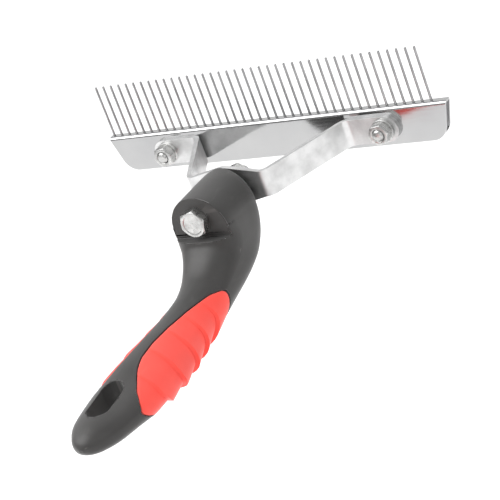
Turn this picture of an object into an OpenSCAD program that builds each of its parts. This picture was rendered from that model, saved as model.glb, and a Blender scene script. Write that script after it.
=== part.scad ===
// Dematting comb: a row of long steel pins in a folded head, carried by a bent strap
// that is bolted to a two-colour handle. The head turns on the pivot bolt when it is loosened.
// X runs along the row of pins, Y points away from the user, Z is the way the pins point.
// The origin is in the middle of the lower edge of the head's front wall.

/* [Head] */
// Length of the head along its web
head_length = 206; // [180:1:260]
// Height of the head's two walls
head_height = 20.4; // [18:0.1:28]
// Depth of the head over both walls
head_depth = 6; // [5.4:0.1:9]
// Thickness of the head's sheet
sheet = 1.2; // [1:0.1:1.5]
// Outer radius of the folds between web and walls
fold_radius = 1.8; // [1.6:0.1:2.6]
// Angle by which the ends of the walls lean inwards
end_angle = 16; // [8:1:20]
// Radius of the walls' lower corners
end_radius = 9; // [5:0.5:10]

/* [Pins] */
// Number of pins in the row
pin_count = 40; // [30:1:42]
// Distance from pin to pin
pin_pitch = 5; // [4.2:0.1:6]
// Distance of the row's middle from the middle of the head
row_offset = -3.3; // [-4:0.1:4]
// Diameter of a pin
pin_d = 1.3; // [1:0.1:1.6]
// Length of a pin above the web
pin_length = 29.4; // [18:0.2:40]
// Diameter of the head that holds a pin under the web
pin_head_d = 2.2; // [2:0.1:2.8]
// Thickness of a pin's head
pin_head_h = 0.8; // [0.6:0.1:1.4]
// Gap around a pin in its hole
pin_gap = 0.05; // [0.02:0.01:0.1]
// Height of the backing bar's lower edge above the walls' edges
bar_lift = 4.5; // [3:0.5:6]
// Distance by which the backing bar stays inside the walls' outline
bar_inset = 1; // [0.5:0.5:3]

/* [Strap] */
// Thickness of the strap
strap_t = 2.5; // [2:0.1:4]
// Width of the strap's arms and tabs
strap_w = 14; // [12:0.5:16]
// Width of the strap's middle, at the pivot
eye_w = 21.6; // [18:0.2:26]
// Half length of the widened middle
eye_reach = 20; // [16:0.5:21]
// Distance from the head's front face to the strap's face at the handle
strap_reach = 50.5; // [40:0.5:70]
// Distance of each bend beside the pivot from the middle
inner_bend_x = 22.5; // [20:0.5:30]
// Distance of each bend beside the head from the middle
outer_bend_x = 45; // [38:0.5:50]
// Radius of the strap's bends at the middle of its thickness
bend_radius = 5; // [4:0.5:8]
// Distance of each clamping screw from the middle
screw_x = 66; // [62:0.5:72]
// Length of a tab beyond its screw
tab_end = 8.5; // [8:0.5:12]

/* [Clamping screws] */
// Diameter of the screws that hold the strap to the head
screw_d = 6; // [5:1:6]
// Length of a screw under its head
screw_length = 16; // [16:1:25]
// Diameter of a screw's round head
screw_head_d = 12; // [10:0.5:14]
// Height of a screw's round head
screw_head_h = 3.6; // [2.5:0.1:4.5]
// Gap around a screw in its holes
screw_gap = 0.2; // [0.1:0.05:0.5]
// Distance across the flats of a screw's nut
screw_nut_af = 10; // [8:0.5:11]
// Thickness of a screw's nut
screw_nut_h = 5; // [4:0.5:6]
// Outer diameter of a screw's washer
screw_washer_d = 12; // [11:0.5:14]
// Thickness of a screw's washer
screw_washer_t = 1.6; // [1:0.1:2]
// Turn of the nuts about their screws
screw_nut_turn = 8; // [0:1:59]

/* [Pivot bolt] */
// Diameter of the pivot bolt
bolt_d = 8; // [6:1:10]
// Length of the pivot bolt under its head
bolt_length = 50; // [50:1:60]
// Distance across the flats of the bolt's head and nut
bolt_af = 13; // [10:0.5:16]
// Height of the bolt's head
bolt_head_h = 5.3; // [4:0.1:7]
// Thickness of the bolt's nut
bolt_nut_h = 6.5; // [5:0.1:8]
// Outer diameter of the bolt's flat washers
bolt_washer_d = 16; // [14:0.5:20]
// Thickness of the bolt's flat washers
bolt_washer_t = 1.6; // [1:0.1:2.5]
// Thickness of the spring washer
spring_t = 2; // [1.5:0.1:2.5]
// Running gap around the bolt in what turns on it
bolt_gap = 0.1; // [0.05:0.01:0.1]
// Turn of the bolt's head about its axis
bolt_turn = 17; // [0:1:59]
// Outer diameter of the steel sleeve in the handle
sleeve_d = 12; // [11:0.5:14]

/* [Handle] */
// Distance from the handle's front face to its free end
handle_length = 167; // [145:0.1:201]
// Distance from the pivot down to the grip's centreline
grip_drop = 38; // [34:0.5:48]
// Width of the grip where it is widest
grip_width = 34; // [30:0.5:42]
// Thickness of the grip where it is thickest
grip_thick = 25; // [20:0.5:30]
// Width of the barrel that the pivot bolt runs through
barrel_width = 33.4; // [30:0.2:38]
// Height of the barrel's rounded top above the pivot
barrel_crown = 11.8; // [10:0.2:16]
// Length of the barrel
barrel_length = 30.8; // [28:0.1:34]
// Distance from the pivot down to the flat step below the bolt's head
step_drop = 9.5; // [9:0.1:12]
// Length of the hanging hole
hole_length = 24.5; // [20:0.5:28]
// Width of the hanging hole
hole_width = 12.4; // [10:0.2:16]
// Distance from the free end to the middle of the hanging hole
hole_from_end = 27; // [25:0.5:36]

/* [Grip cover] */
// Thickness of the soft grip cover
cover_t = 2.5; // [1.5:0.1:3.5]
// Width of the groove around the grip cover
cover_gap = 0.6; // [0.4:0.1:1.2]
// Height of a rib's lip above the start of the next rib
rib_lip = 2; // [0:0.1:2.4]
// How far the cover's front tips reach ahead of its underside, as a share of its length
tip_reach = 0.17; // [0:0.01:0.25]
// How far the cover's rear edge steps back around the hanging hole, as a share of its length
tail_notch = 0.26; // [0.2:0.01:0.3]

/* [Hidden] */
$fn = 48;
eps = 0.01;
through = 40;

half_head = head_length / 2;
front_face = -sheet / 2;
rear_face = front_face + head_depth;
row_y = front_face + head_depth / 2;
axis_z = head_height / 2 - 0.4;

tab_face = front_face - strap_t;
strap_face = front_face - strap_reach;
eye_back = strap_face + strap_t;
tip_x = screw_x + tab_end;

handle_front = strap_face - bolt_washer_t;
barrel_back = handle_front - barrel_length;
hole_y = handle_front - handle_length + hole_from_end;

// Rows of the handle's sweep: y and z of the middle, half width, half thickness, squareness
// (2 being an ellipse) and how much wider the underside is than the back.
crown_z = axis_z + barrel_crown - barrel_width / 2;
barrel_rows = [for (t = [87, 75, 52, 27, 0]) [
    handle_front - barrel_length / 2 - 1.4, crown_z + barrel_width / 2 * sin(t),
    barrel_width / 2 * cos(t), barrel_length / 2 + 1.6, t > 10 ? 8 : 7, 0
]];
// The same as shares of the handle's length, the grip's drop, width and thickness.
grip_shares = [
    [0.109, 0.281, 1.018, 1.456, 5.0, 0.00],
    [0.122, 0.399, 1.040, 1.408, 4.0, 0.03],
    [0.143, 0.517, 1.030, 1.328, 3.4, 0.06],
    [0.173, 0.630, 0.970, 1.168, 3.0, 0.10],
    [0.219, 0.748, 0.882, 1.040, 2.6, 0.15],
    [0.278, 0.858, 0.788, 0.928, 2.4, 0.20],
    [0.355, 0.932, 0.753, 0.904, 2.3, 0.32],
    [0.464, 0.979, 0.806, 0.960, 2.3, 0.38],
    [0.583, 1.000, 0.930, 1.024, 2.3, 0.40],
    [0.685, 1.000, 0.994, 0.976, 2.3, 0.38],
    [0.763, 1.010, 1.000, 0.832, 2.3, 0.30],
    [0.833, 1.013, 0.940, 0.704, 2.3, 0.20],
    [0.915, 1.016, 0.776, 0.608, 2.3, 0.15],
    [0.962, 1.030, 0.540, 0.472, 2.3, 0.10],
    [0.989, 1.040, 0.306, 0.288, 2.3, 0.05],
    [1.000, 1.045, 0.060, 0.070, 2.3, 0.00]
];
handle_rows = concat(barrel_rows, [for (r = grip_shares) [
    handle_front - r[0] * handle_length, axis_z - r[1] * grip_drop,
    r[2] * grip_width / 2, r[3] * grip_thick / 2, r[4], r[5]
]]);
last_u = len(handle_rows) - 1;

// Rows of the grip cover: place along the sweep, angle that it reaches up each side from below.
cover_rows = [
    [10.0, 94], [10.1, 103], [10.6, 121], [11.6, 142], [12.4, 154],
    [13.1, 159], [13.8, 157], [14.4, 147], [15.3, 125], [15.7, 105], [15.9, 88]
];
cover_start = cover_rows[0][0];
cover_end = cover_rows[len(cover_rows) - 1][0];
// Places of the lips where one rib ends and the next begins.
rib_lips = [cover_start, 11.05, 11.8, 12.5, 13.4, 14.55, cover_end];

// The point at place u on a smooth curve through the rows, u counting the rows.
function blend(a, b, c, d, t) =
    0.5 * (2 * b + (c - a) * t + (2 * a - 5 * b + 4 * c - d) * t * t
    + (3 * b - a - 3 * c + d) * t * t * t);
function row_at(rows, i) = rows[max(0, min(len(rows) - 1, i))];
function smooth(rows, u) =
    let (i = max(0, min(len(rows) - 2, floor(u))), t = u - i)
    blend(row_at(rows, i - 1), row_at(rows, i), row_at(rows, i + 1), row_at(rows, i + 2), t);
function middle(u) = let (r = smooth(handle_rows, u)) [0, r[0], r[1]];
function heading(u) =
    let (d = middle(min(u + 0.05, last_u)) - middle(max(u - 0.05, 0)))
    d / norm(d);

// A signed power, for sections between an ellipse and a rectangle.
function power(x, n) = sign(x) * pow(abs(x), 2 / n);
// The point at an angle from below on the section at u, moved out by grow.
function section(u, angle, grow = 0) =
    let (r = smooth(handle_rows, u), h = heading(u))
    [0, r[0], r[1]]
    + [(r[2] + grow) * power(sin(angle), r[4]) * (1 + r[5] * cos(angle)), 0, 0]
    - (r[3] + grow) * power(cos(angle), r[4]) * [0, h[2], -h[1]];
// The same at place s, counted so that the cover's front and rear edges are lines of constant s.
function fade(s, from) = max(0, 1 - abs(s - from) / 3);
function along(s, angle) =
    s + (cover_end - cover_start)
    * (tip_reach * fade(s, cover_start) * pow(max(0, cos(angle)), 1.4)
    - tail_notch * fade(s, cover_end) * pow(max(0, cos(angle)), 2));
function skin(s, angle, grow = 0) = section(along(s, angle), angle, grow);

// The cover's half angle at place s, and the angle that the groove beside it takes up.
function reach_at(s) =
    let (n = len([for (r = cover_rows) if (r[0] <= s) 1]), i = max(0, min(len(cover_rows) - 2, n - 1)),
         a = cover_rows[i], b = cover_rows[i + 1])
    a[1] + (b[1] - a[1]) * max(0, min(1, (s - a[0]) / (b[0] - a[0])));
function lip_angle(s) =
    let (r = smooth(handle_rows, s))
    cover_gap * 180 / (PI * (r[2] + r[3]) / 2);

// Triangles of a closed sweep of rings with the same number of points each, whose ends are
// closed by the faces given. The points from number flip on are joined with the other diagonal.
function flat_ends(rings, sides) =
    [[for (j = [0:sides - 1]) j], [for (j = [sides - 1:-1:0]) (rings - 1) * sides + j]];
// Ends of a sweep whose rings run out along one edge and back along the other.
function strip_ends(rings, sides) = [for (j = [0:sides / 2 - 2])
    let (a = j, b = j + 1, c = sides - 2 - j, d = sides - 1 - j, far = (rings - 1) * sides)
    each [[a, b, c], [a, c, d], [far + a, far + c, far + b], [far + a, far + d, far + c]]];
function sweep_faces(rings, sides, flip, ends) = concat(
    ends,
    [for (i = [0:rings - 2]) for (j = [0:sides - 1])
        let (k = (j + 1) % sides, a = i * sides + j, b = i * sides + k, c = a + sides, d = b + sides)
        each j < flip ? [[a, d, b], [a, c, d]] : [[a, c, b], [b, c, d]]]
);

function pin_name(i) = str("pin_", i < 10 ? "0" : "", i);
fixed_names = [
    "comb_channel", "backing_bar", "bracket_strap",
    "left_screw", "left_screw_washer", "left_screw_nut",
    "right_screw", "right_screw_washer", "right_screw_nut",
    "handle_core", "grip_cover", "pivot_sleeve", "pivot_bolt",
    "thrust_washer", "bolt_nut_washer", "spring_washer", "pivot_nut"
];

// Turns a shape drawn along +Z to point towards the user, along -Y.
module towards_user(y) translate([0, y, axis_z]) rotate([90, 0, 0]) children();

// Points on an arc about a centre, and a right-hand outline joined to its mirror image.
function arc(centre, r, from, to, steps = 12) =
    [for (i = [0:steps]) let (a = from + (to - from) * i / steps) centre + r * [cos(a), sin(a)]];
function both_sides(points) =
    concat(points, [for (i = [len(points) - 1:-1:0]) if (points[i][0] > eps) [-points[i][0], points[i][1]]]);

// A wall's outline in X and Z: leaning ends and round lower corners.
module wall_outline(inset = 0) {
    r = end_radius - inset;
    top = half_head - inset * 1.1;
    low = top - head_height * tan(end_angle);
    turn = r * tan((90 - end_angle) / 2);
    polygon(both_sides(concat(
        [[0, 0]], arc([low - turn, r], r, -90, -end_angle), [[top, head_height], [0, head_height]])));
}

// The head's fold, seen along X: a box with round upper corners.
module fold_outline(width, height, radius) {
    side = width / 2;
    polygon(both_sides(concat(
        [[0, 0], [side, 0]], arc([side - radius, height - radius], radius, 0, 90, 8), [[0, height]])));
}

module along_x(length) rotate([90, 0, 90]) translate([0, 0, -length / 2]) linear_extrude(length) children();
module across_head(y0, y1) translate([0, y1, 0]) rotate([90, 0, 0]) linear_extrude(y1 - y0) children();

module screw_holes(y0, y1) {
    for (side = [-1, 1])
        translate([side * screw_x, y1, axis_z]) rotate([90, 0, 0])
            cylinder(h = y1 - y0, r = screw_d / 2 + screw_gap);
}

function pin_x(i) = row_offset + (i - (pin_count + 1) / 2) * pin_pitch;

module comb_channel() color("silver") difference() {
    intersection() {
        translate([0, row_y, 0]) along_x(head_length) difference() {
            fold_outline(head_depth, head_height, fold_radius);
            translate([0, -1]) fold_outline(head_depth - 2 * sheet, head_height - sheet + 1, fold_radius - sheet);
        }
        across_head(front_face - 1, rear_face + 1) wall_outline();
    }
    screw_holes(front_face - 1, rear_face + 1);
    for (i = [1:pin_count])
        translate([pin_x(i), row_y, head_height - sheet - 1]) cylinder(h = sheet + 2, r = pin_d / 2 + pin_gap);
}

bar_top = head_height - sheet - pin_head_h;
module backing_bar() color("darkgray") difference() {
    intersection() {
        across_head(front_face + sheet, rear_face - sheet) wall_outline(bar_inset);
        translate([-half_head, -through, bar_lift]) cube([head_length, 2 * through, bar_top - bar_lift]);
    }
    screw_holes(front_face, rear_face);
}

module pin(i) color("gainsboro") translate([pin_x(i), row_y, bar_top]) {
    cylinder(h = pin_head_h, d = pin_head_d);
    cylinder(h = pin_head_h + sheet + pin_length - pin_d / 2, d = pin_d, $fn = 32);
    translate([0, 0, pin_head_h + sheet + pin_length - pin_d / 2]) sphere(d = pin_d, $fn = 32);
}

// The strap's centreline in X and Y, bent at each corner.
tab_mid = tab_face + strap_t / 2;
eye_mid = strap_face + strap_t / 2;
arm = [outer_bend_x - inner_bend_x, tab_mid - eye_mid];
arm_angle = atan2(arm[1], arm[0]);
bend_run = bend_radius * tan(arm_angle / 2);

// One edge of the strap from its middle to its tip, to one side of the centreline by d.
inner_bend = [inner_bend_x - bend_run, eye_mid + bend_radius];
outer_bend = [outer_bend_x + bend_run, tab_mid - bend_radius];
function strap_edge(d) = concat(
    [[0, eye_mid + d]],
    arc(inner_bend, bend_radius - d, -90, arm_angle - 90),
    arc(outer_bend, bend_radius + d, arm_angle + 90, 90),
    [[tip_x, tab_mid + d]]
);
function backwards(points) = [for (i = [len(points) - 1:-1:0]) points[i]];
module strap_profile()
    polygon(both_sides(concat(strap_edge(-strap_t / 2), backwards(strap_edge(strap_t / 2)))));

// The strap's outline in X and Z: round tabs, straight arms and a wider round eye.
module strap_outline() {
    r = strap_w / 2;
    eye_r = eye_w / 2;
    corner = [eye_reach, r];
    touch = atan2(corner[1], corner[0]) + acos(eye_r / norm(corner));
    upper = concat(
        arc([0, 0], eye_r, 90, touch), [corner], arc([tip_x - r, 0], r, 90, 0));
    lower = [for (i = [len(upper) - 2:-1:0]) [upper[i][0], -upper[i][1]]];
    polygon(both_sides(concat(upper, lower)));
}

module bracket_strap() color("lightgray") difference() {
    intersection() {
        translate([0, 0, axis_z - eye_w / 2 - 1]) linear_extrude(eye_w + 2) strap_profile();
        translate([0, 0, axis_z]) across_head(strap_face - 1, front_face + 1) strap_outline();
    }
    screw_holes(tab_face - 1, front_face + 1);
    towards_user(eye_back + 1) cylinder(h = strap_t + 2, r = bolt_d / 2 + bolt_gap);
}

// A hexagon prism standing on z = 0, with a turned chamfer at its top and, if wanted, its bottom.
module hex_block(af, h, turn, chamfer_both) {
    corner_r = af / sqrt(3);
    face_r = af / 2 - 0.1;
    chamfer = 0.55 * (corner_r - face_r);
    low_r = chamfer_both ? face_r : corner_r + 0.01;
    intersection() {
        rotate(turn) cylinder(h = h, r = corner_r, $fn = 6);
        rotate_extrude() polygon([
            [0, 0], [low_r, 0], [corner_r + 0.01, chamfer],
            [corner_r + 0.01, h - chamfer], [face_r, h], [0, h]
        ]);
    }
}

module ring(outer, inner, h) difference() {
    cylinder(h = h, d = outer);
    translate([0, 0, -1]) cylinder(h = h + 2, d = inner);
}

module at_screw(side, y) translate([side * screw_x, y, axis_z]) rotate([90, 0, 0]) children();

// A round-head screw with a cross recess, its shank pointing towards the user.
module screw(side) color("silver") at_screw(side, rear_face) {
    slot = [0.22 * screw_head_d, 0.07 * screw_head_d];
    cylinder(h = screw_length - 0.6, d = screw_d);
    translate([0, 0, screw_length - 0.6]) cylinder(h = 0.6, d1 = screw_d, d2 = screw_d - 1.2);
    difference() {
        translate([0, 0, -screw_head_h]) {
            translate([0, 0, screw_head_h / 2]) cylinder(h = screw_head_h / 2, d = screw_head_d);
            cylinder(h = screw_head_h / 2, d1 = 0.62 * screw_head_d, d2 = screw_head_d);
        }
        for (turn = [0, 90]) rotate(turn)
            translate([-slot[0], -slot[1], -screw_head_h - 1]) cube([2 * slot[0], 2 * slot[1], 3]);
    }
}

module screw_washer(side) color("silver")
    at_screw(side, tab_face) ring(screw_washer_d, screw_d + 2 * screw_gap, screw_washer_t);

module screw_nut(side) color("silver")
    at_screw(side, tab_face - screw_washer_t) difference() {
        hex_block(screw_nut_af, screw_nut_h, screw_nut_turn, true);
        translate([0, 0, -1]) cylinder(h = screw_nut_h + 2, d = screw_d + 0.1);
    }

// Places of the rings: ahead of the cover, along its ribs and behind it.
arc_steps = 9;
edge = 0.015;
ahead = [for (i = [0:19]) i * (cover_start - edge) / 19];
cover_places = [for (k = [0:len(rib_lips) - 2]) for (i = [0:4])
    rib_lips[k] + (rib_lips[k + 1] - rib_lips[k]) * (i == 0 ? (k == 0 ? 0 : 0.03) : i / 4)];
behind = [for (i = [0:14]) cover_end + edge + i * (last_u - cover_end - edge) / 14];
function in_cover(s) = s >= cover_start && s <= cover_end;
// How far a rib stands out at place s, rising from below the handle's own surface to its lip.
function rib_at(s) =
    let (k = max(1, min(len(rib_lips) - 1, len([for (lip = rib_lips) if (lip < s - 0.001) 1]))),
         part = (s - rib_lips[k - 1]) / (rib_lips[k] - rib_lips[k - 1]))
    rib_lip * (k == 1 ? 0.45 * part : k == len(rib_lips) - 1 ? -0.55 * (1 - part) : part - 0.55);

// The neck and grip with the pocket that the cover sits in.
module handle_sweep() {
    places = concat(ahead, cover_places, behind);
    points = [for (s = places) let (r = reach_at(s), lip = r + lip_angle(s), deep = in_cover(s) ? 1 : 0)
        each concat(
            [for (j = [-arc_steps:arc_steps]) skin(s, r * j / arc_steps, -deep * (cover_t + 0.02))],
            [for (j = [0:arc_steps]) skin(s, lip + (360 - 2 * lip) * j / arc_steps)])];
    sides = 3 * arc_steps + 2;
    rings = len(places);
    polyhedron(points, sweep_faces(rings, sides, sides, flat_ends(rings, sides)));
}

module hole_outline() {
    r = hole_width / 2;
    run = hole_length / 2 - r;
    for (side = [-1, 1]) translate([0, side * run]) circle(r);
    translate([-r, -run]) square([2 * r, 2 * run]);
}

module hanging_hole() translate([0, hole_y, axis_z - grip_drop - through / 2])
    linear_extrude(through) hole_outline();

// The sweep with its two flat faces and the step below the bolt's head.
module handle_blank() difference() {
    handle_sweep();
    translate([-through, handle_front, axis_z - 2 * through]) cube([2 * through, through, 3 * through]);
    translate([-through, barrel_back - through, axis_z - step_drop]) cube([2 * through, through, through]);
}

module handle_core() color([0.25, 0.24, 0.24]) difference() {
    handle_blank();
    towards_user(handle_front + 1) cylinder(h = barrel_length + 2, d = sleeve_d + 0.04);
    hanging_hole();
}

module grip_cover() color([0.85, 0.2, 0.17]) {
    sides = 4 * arc_steps + 2;
    points = [for (s = cover_places) let (r = reach_at(s)) each concat(
        [for (j = [-arc_steps:arc_steps])
            skin(s, r * j / arc_steps, rib_at(s) * (1 - pow(abs(j) / arc_steps, 4)))],
        [for (j = [arc_steps:-1:-arc_steps]) skin(s, r * j / arc_steps, -cover_t)])];
    rings = len(cover_places);
    polyhedron(points, sweep_faces(rings, sides, 2 * arc_steps + 1, strip_ends(rings, sides)));
}

module pivot_sleeve() color("gray")
    towards_user(handle_front) ring(sleeve_d, bolt_d + 2 * bolt_gap, barrel_length);

module pivot_bolt() color("silver") towards_user(barrel_back) {
    hex_block(bolt_af, bolt_head_h, bolt_turn, false);
    translate([0, 0, 1 - bolt_length]) cylinder(h = bolt_length - 0.5, d = bolt_d);
    translate([0, 0, -bolt_length]) cylinder(h = 1, d1 = bolt_d - 1.6, d2 = bolt_d);
}

module flat_washer(y) color("silver")
    towards_user(y) ring(bolt_washer_d, bolt_d + 2 * bolt_gap, bolt_washer_t);
module thrust_washer() flat_washer(strap_face);
module bolt_nut_washer() flat_washer(eye_back + bolt_washer_t);

module spring_washer() color("gray") towards_user(eye_back + bolt_washer_t + spring_t) difference() {
    ring(bolt_af + 0.5, bolt_d + 2 * bolt_gap, spring_t);
    translate([0, 0, spring_t / 2]) rotate([0, 0, 70]) rotate([25, 0, 0]) translate([0, -0.5, -through / 2])
        cube([through, 1, through]);
}

module pivot_nut() color("silver")
    towards_user(eye_back + bolt_washer_t + spring_t + bolt_nut_h) difference() {
        hex_block(bolt_af, bolt_nut_h, bolt_turn, true);
        translate([0, 0, -1]) cylinder(h = bolt_nut_h + 2, d = bolt_d + 0.1);
    }

comb_channel();
backing_bar();
bracket_strap();
screw(-1);  // left_screw
screw_washer(-1);  // left_screw_washer
screw_nut(-1);  // left_screw_nut
screw(1);  // right_screw
screw_washer(1);  // right_screw_washer
screw_nut(1);  // right_screw_nut
handle_core();
grip_cover();
pivot_sleeve();
pivot_bolt();
thrust_washer();
bolt_nut_washer();
spring_washer();
pivot_nut();
for (i = [1:pin_count]) pin(i);
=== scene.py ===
"""Looks of the dematting comb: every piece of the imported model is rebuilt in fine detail.

The head is a polished folded sheet with forty drawn steel pins. A plated strap carries it on a
pivot bolt, and the handle is a soft-touch black moulding with a ribbed red grip cover.
Sizes are in millimetres and become metres when a piece is finished.
"""

import logging
import math
from dataclasses import dataclass, field
from enum import Enum
from typing import Callable, Iterable, Sequence

import bmesh
import bpy
from mathutils import Matrix, Vector

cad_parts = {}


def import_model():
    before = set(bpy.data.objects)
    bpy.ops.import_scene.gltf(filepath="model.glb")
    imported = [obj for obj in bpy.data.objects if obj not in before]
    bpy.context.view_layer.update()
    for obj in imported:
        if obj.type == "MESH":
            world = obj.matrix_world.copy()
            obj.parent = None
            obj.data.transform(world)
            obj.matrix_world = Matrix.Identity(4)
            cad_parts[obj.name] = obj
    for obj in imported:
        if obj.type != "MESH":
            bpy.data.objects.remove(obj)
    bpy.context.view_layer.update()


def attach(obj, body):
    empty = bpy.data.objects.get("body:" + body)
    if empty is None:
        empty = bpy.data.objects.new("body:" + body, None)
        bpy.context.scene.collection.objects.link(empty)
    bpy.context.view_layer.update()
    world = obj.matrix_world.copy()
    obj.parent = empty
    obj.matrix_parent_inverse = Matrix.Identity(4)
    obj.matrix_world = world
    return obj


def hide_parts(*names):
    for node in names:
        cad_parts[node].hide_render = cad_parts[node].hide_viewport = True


LOG = logging.getLogger("comb")
MM = 0.001
HANDLE_BODY = "handle"
HEAD_BODY = "head"
# How far inside its flats a hexagon's round face ends, in millimetres.
FACE_INSET = 0.12
Colour = tuple[float, float, float]
Point = tuple[float, float, float]


class Grain(Enum):
    """Direction in which a metal surface was rolled, drawn or brushed, as stretch factors."""

    ALONG_X = (0.035, 1.0, 1.0)
    ALONG_Z = (1.0, 1.0, 0.03)
    NONE = (1.0, 1.0, 1.0)


# ---------------------------------------------------------------- finishes


class Shader:
    """A material under construction: one principled shader and the nodes that feed it."""

    def __init__(self, name: str) -> None:
        """Makes the material with its shader and output."""
        self.material = bpy.data.materials.new(name)
        self.material.use_nodes = True
        self.tree = self.material.node_tree
        self.tree.nodes.clear()
        self.bsdf = self.add("ShaderNodeBsdfPrincipled")
        output = self.add("ShaderNodeOutputMaterial")
        self.join(self.bsdf.outputs["BSDF"], output.inputs["Surface"])
        self.coordinates = self.add("ShaderNodeTexCoord").outputs["Object"]

    def add(self, kind: str, **settings: object) -> bpy.types.Node:
        """Adds a node.

        Args:
            kind: Node type.
            settings: Properties of the node, or socket names with values for its inputs.

        Returns:
            The new node.
        """
        node = self.tree.nodes.new(kind)
        for key, value in settings.items():
            if hasattr(node, key):
                setattr(node, key, value)
            else:
                node.inputs[key.replace("_", " ")].default_value = value
        return node

    def join(self, output: bpy.types.NodeSocket, target: bpy.types.NodeSocket) -> None:
        """Links an output to an input."""
        self.tree.links.new(output, target)

    def stretched(self, factors: Sequence[float]) -> bpy.types.NodeSocket:
        """Object coordinates scaled along each axis."""
        mapping = self.add("ShaderNodeMapping")
        mapping.inputs["Scale"].default_value = factors
        self.join(self.coordinates, mapping.inputs["Vector"])
        return mapping.outputs["Vector"]

    def noise(
        self, scale: float, detail: float = 3.0, stretch: Sequence[float] = (1, 1, 1)
    ) -> bpy.types.NodeSocket:
        """A noise value between 0 and 1.

        Args:
            scale: Cells per metre.
            detail: Number of finer layers.
            stretch: Factors that draw the pattern out along an axis.

        Returns:
            The noise node's value output.
        """
        node = self.add("ShaderNodeTexNoise", Scale=scale, Detail=detail)
        self.join(self.stretched(stretch), node.inputs["Vector"])
        return node.outputs["Fac"]

    def ranged(
        self, value: bpy.types.NodeSocket, low: float, high: float, start: float = 0.3, end: float = 0.7
    ) -> bpy.types.NodeSocket:
        """Maps start..end of a value on to low..high."""
        node = self.add("ShaderNodeMapRange")
        for index, number in enumerate((start, end, low, high), start=1):
            node.inputs[index].default_value = number
        self.join(value, node.inputs[0])
        return node.outputs[0]

    def sum(self, first: bpy.types.NodeSocket, second: bpy.types.NodeSocket) -> bpy.types.NodeSocket:
        """Adds two values."""
        node = self.add("ShaderNodeMath", operation="ADD")
        self.join(first, node.inputs[0])
        self.join(second, node.inputs[1])
        return node.outputs[0]

    def mixed(
        self, share: bpy.types.NodeSocket, first: object, second: object
    ) -> bpy.types.NodeSocket:
        """Blends two colours, each a colour or an output, by a share."""
        node = self.add("ShaderNodeMix", data_type="RGBA")
        self.join(share, node.inputs[0])
        for socket, colour in ((node.inputs[6], first), (node.inputs[7], second)):
            if isinstance(colour, bpy.types.NodeSocket):
                self.join(colour, socket)
            else:
                socket.default_value = (*colour, 1.0)
        return node.outputs[2]

    def bump(self, layers: Sequence[tuple[bpy.types.NodeSocket, float]]) -> None:
        """Stacks bump layers on the shader's normal.

        Args:
            layers: Height outputs with the depth of each in metres.
        """
        below = None
        for height, depth in layers:
            node = self.add("ShaderNodeBump", Strength=1.0, Distance=depth)
            self.join(height, node.inputs["Height"])
            if below is not None:
                self.join(below, node.inputs["Normal"])
            below = node.outputs["Normal"]
        self.join(below, self.bsdf.inputs["Normal"])


@dataclass(frozen=True)
class MetalFinish:
    """A bare or plated metal surface with grain, blotches and fine handling marks.

    Attributes:
        name: Material name.
        bright: Colour where the metal is clean.
        dull: Colour where it is dulled.
        roughness: Lowest and highest roughness.
        grain: Direction of the grain.
        grain_scale: Grain lines per metre.
        grain_depth: Depth of the grain in metres.
        blotch_scale: Blotches per metre.
        marks: Share of the surface that fine marks cover, 0 to 1.
    """

    name: str
    bright: Colour
    dull: Colour
    roughness: tuple[float, float]
    grain: Grain = Grain.NONE
    grain_scale: float = 1500.0
    grain_depth: float = 0.000004
    blotch_scale: float = 60.0
    marks: float = 0.3

    def material(self) -> bpy.types.Material:
        """Makes the material."""
        shader = Shader(self.name)
        shader.bsdf.inputs["Metallic"].default_value = 1.0
        grain = shader.noise(self.grain_scale, 4.0, self.grain.value)
        blotch = shader.noise(self.blotch_scale, 5.0)
        marks = shader.noise(420.0, 8.0, (1.0, 0.45, 0.8))
        clean = shader.mixed(shader.ranged(blotch, 0.0, 1.0, 0.35, 0.72), self.bright, self.dull)
        colour = shader.mixed(shader.ranged(marks, 0.0, self.marks, 0.56, 0.74), clean, self.dull)
        shader.join(colour, shader.bsdf.inputs["Base Color"])
        low, high = self.roughness
        rough = shader.sum(
            shader.ranged(grain, low, high),
            shader.ranged(blotch, 0.0, (high - low) * 0.6, 0.45, 0.8),
        )
        shader.join(rough, shader.bsdf.inputs["Roughness"])
        shader.bump([(grain, self.grain_depth), (marks, self.grain_depth * 1.5)])
        return shader.material


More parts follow.
